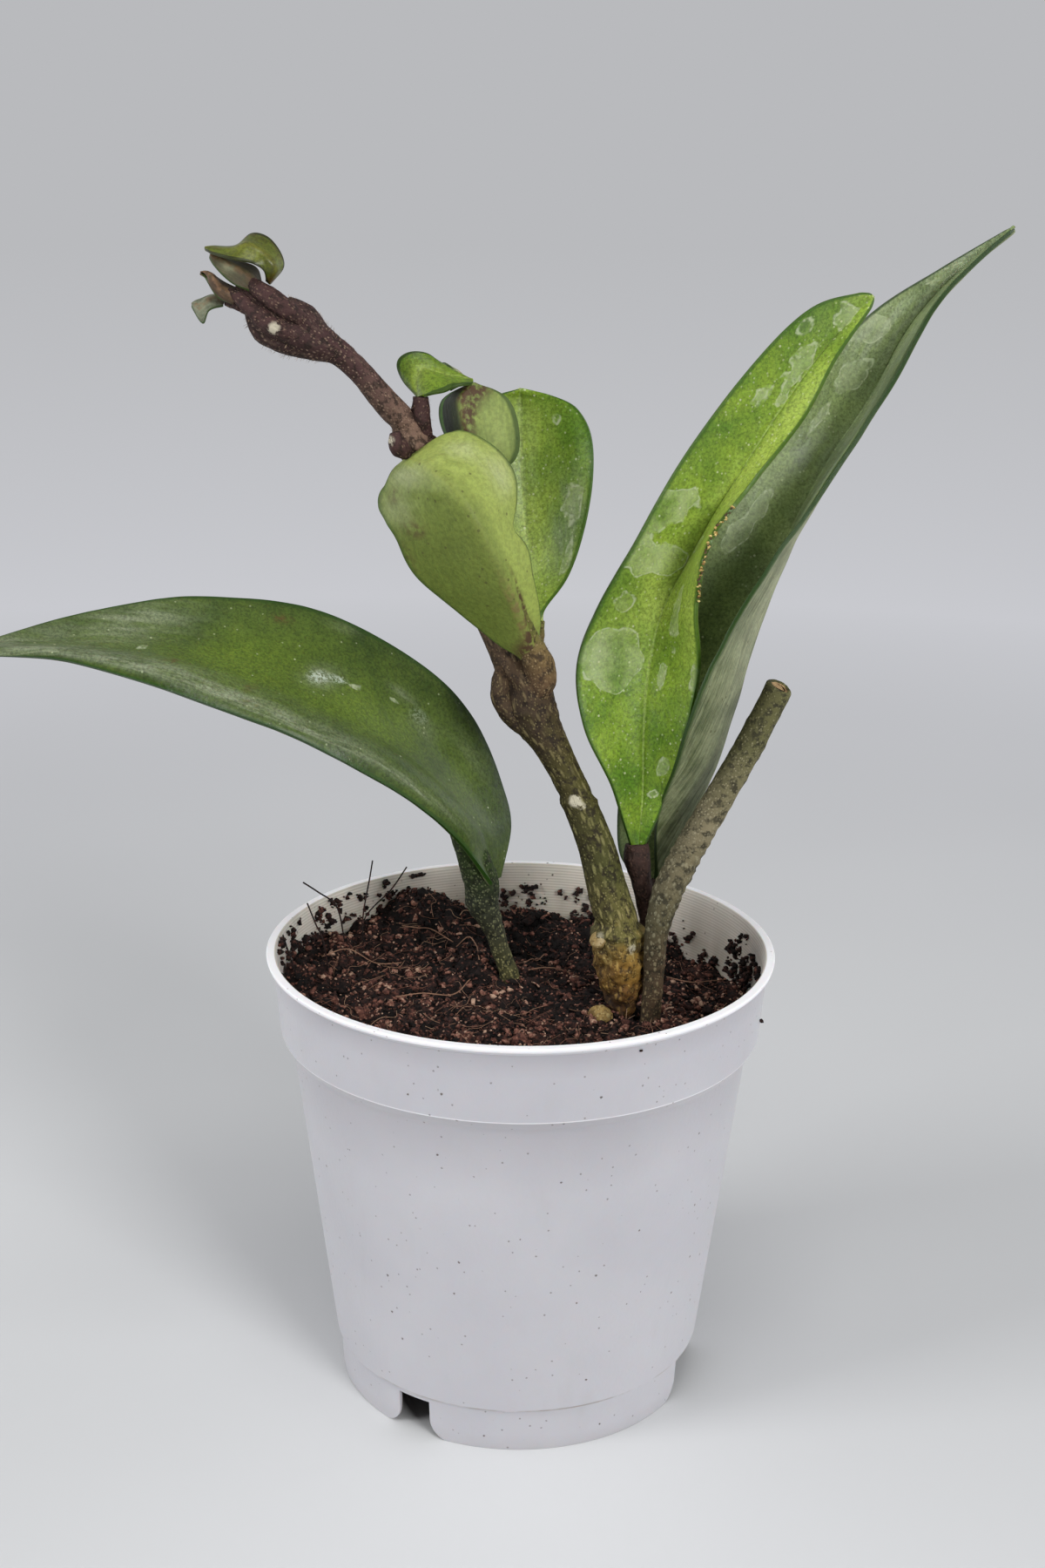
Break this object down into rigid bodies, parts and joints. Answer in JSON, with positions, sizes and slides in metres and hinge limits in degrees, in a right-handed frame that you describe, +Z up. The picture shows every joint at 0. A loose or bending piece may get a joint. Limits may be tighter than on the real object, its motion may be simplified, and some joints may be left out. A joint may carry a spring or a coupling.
{
  "type": "potted hoya plant",
  "caption": "Thick-leaved climbing hoya with an arching leaf, upright folded leaves and a budding shoot, in a round white nursery pot of coco peat.",
  "frame": {"origin": "the pot's axis, on the surface that it stands on", "axes": "+Z up along the pot's axis, -Y towards the side that the plant is looked at from, +X towards the tip of the upright folded leaf"},
  "size_m": [0.2351, 0.12, 0.2727],
  "materials": {
    "pot_plastic": "satin moulded polypropylene",
    "coco_peat": "loose damp coco peat",
    "woody_stem": "mottled olive bark",
    "young_stem": "downy purple-brown shoot",
    "dark_leaf": "waxy dark green leaf",
    "bright_leaf": "waxy yellow-green leaf",
    "pale_leaf": "satin leaf underside"
  },
  "bodies": {
    "root": {"nursery_pot": "pot_plastic", "potting_soil": "coco_peat", "main_stem": "woody_stem", "cut_stem": "woody_stem", "arching_leaf_stem": "woody_stem", "bright_leaf_petiole": "young_stem", "folded_leaf_petiole": "young_stem", "hooded_leaf_petiole": "woody_stem", "round_leaf_petiole": "woody_stem", "curled_leaf_petiole": "young_stem", "small_leaf_petiole": "young_stem", "axil_bud": "young_stem", "arching_leaf": "dark_leaf", "bright_leaf": "bright_leaf", "folded_leaf": "dark_leaf", "hooded_leaf": "pale_leaf", "round_leaf": "bright_leaf", "curled_leaf": "pale_leaf", "small_leaf": "bright_leaf", "tip_leaf_upper": "bright_leaf", "tip_leaf_inner": "pale_leaf", "tip_bract": "young_stem", "tip_leaf_lower": "dark_leaf"}
  },
  "joints": []
}
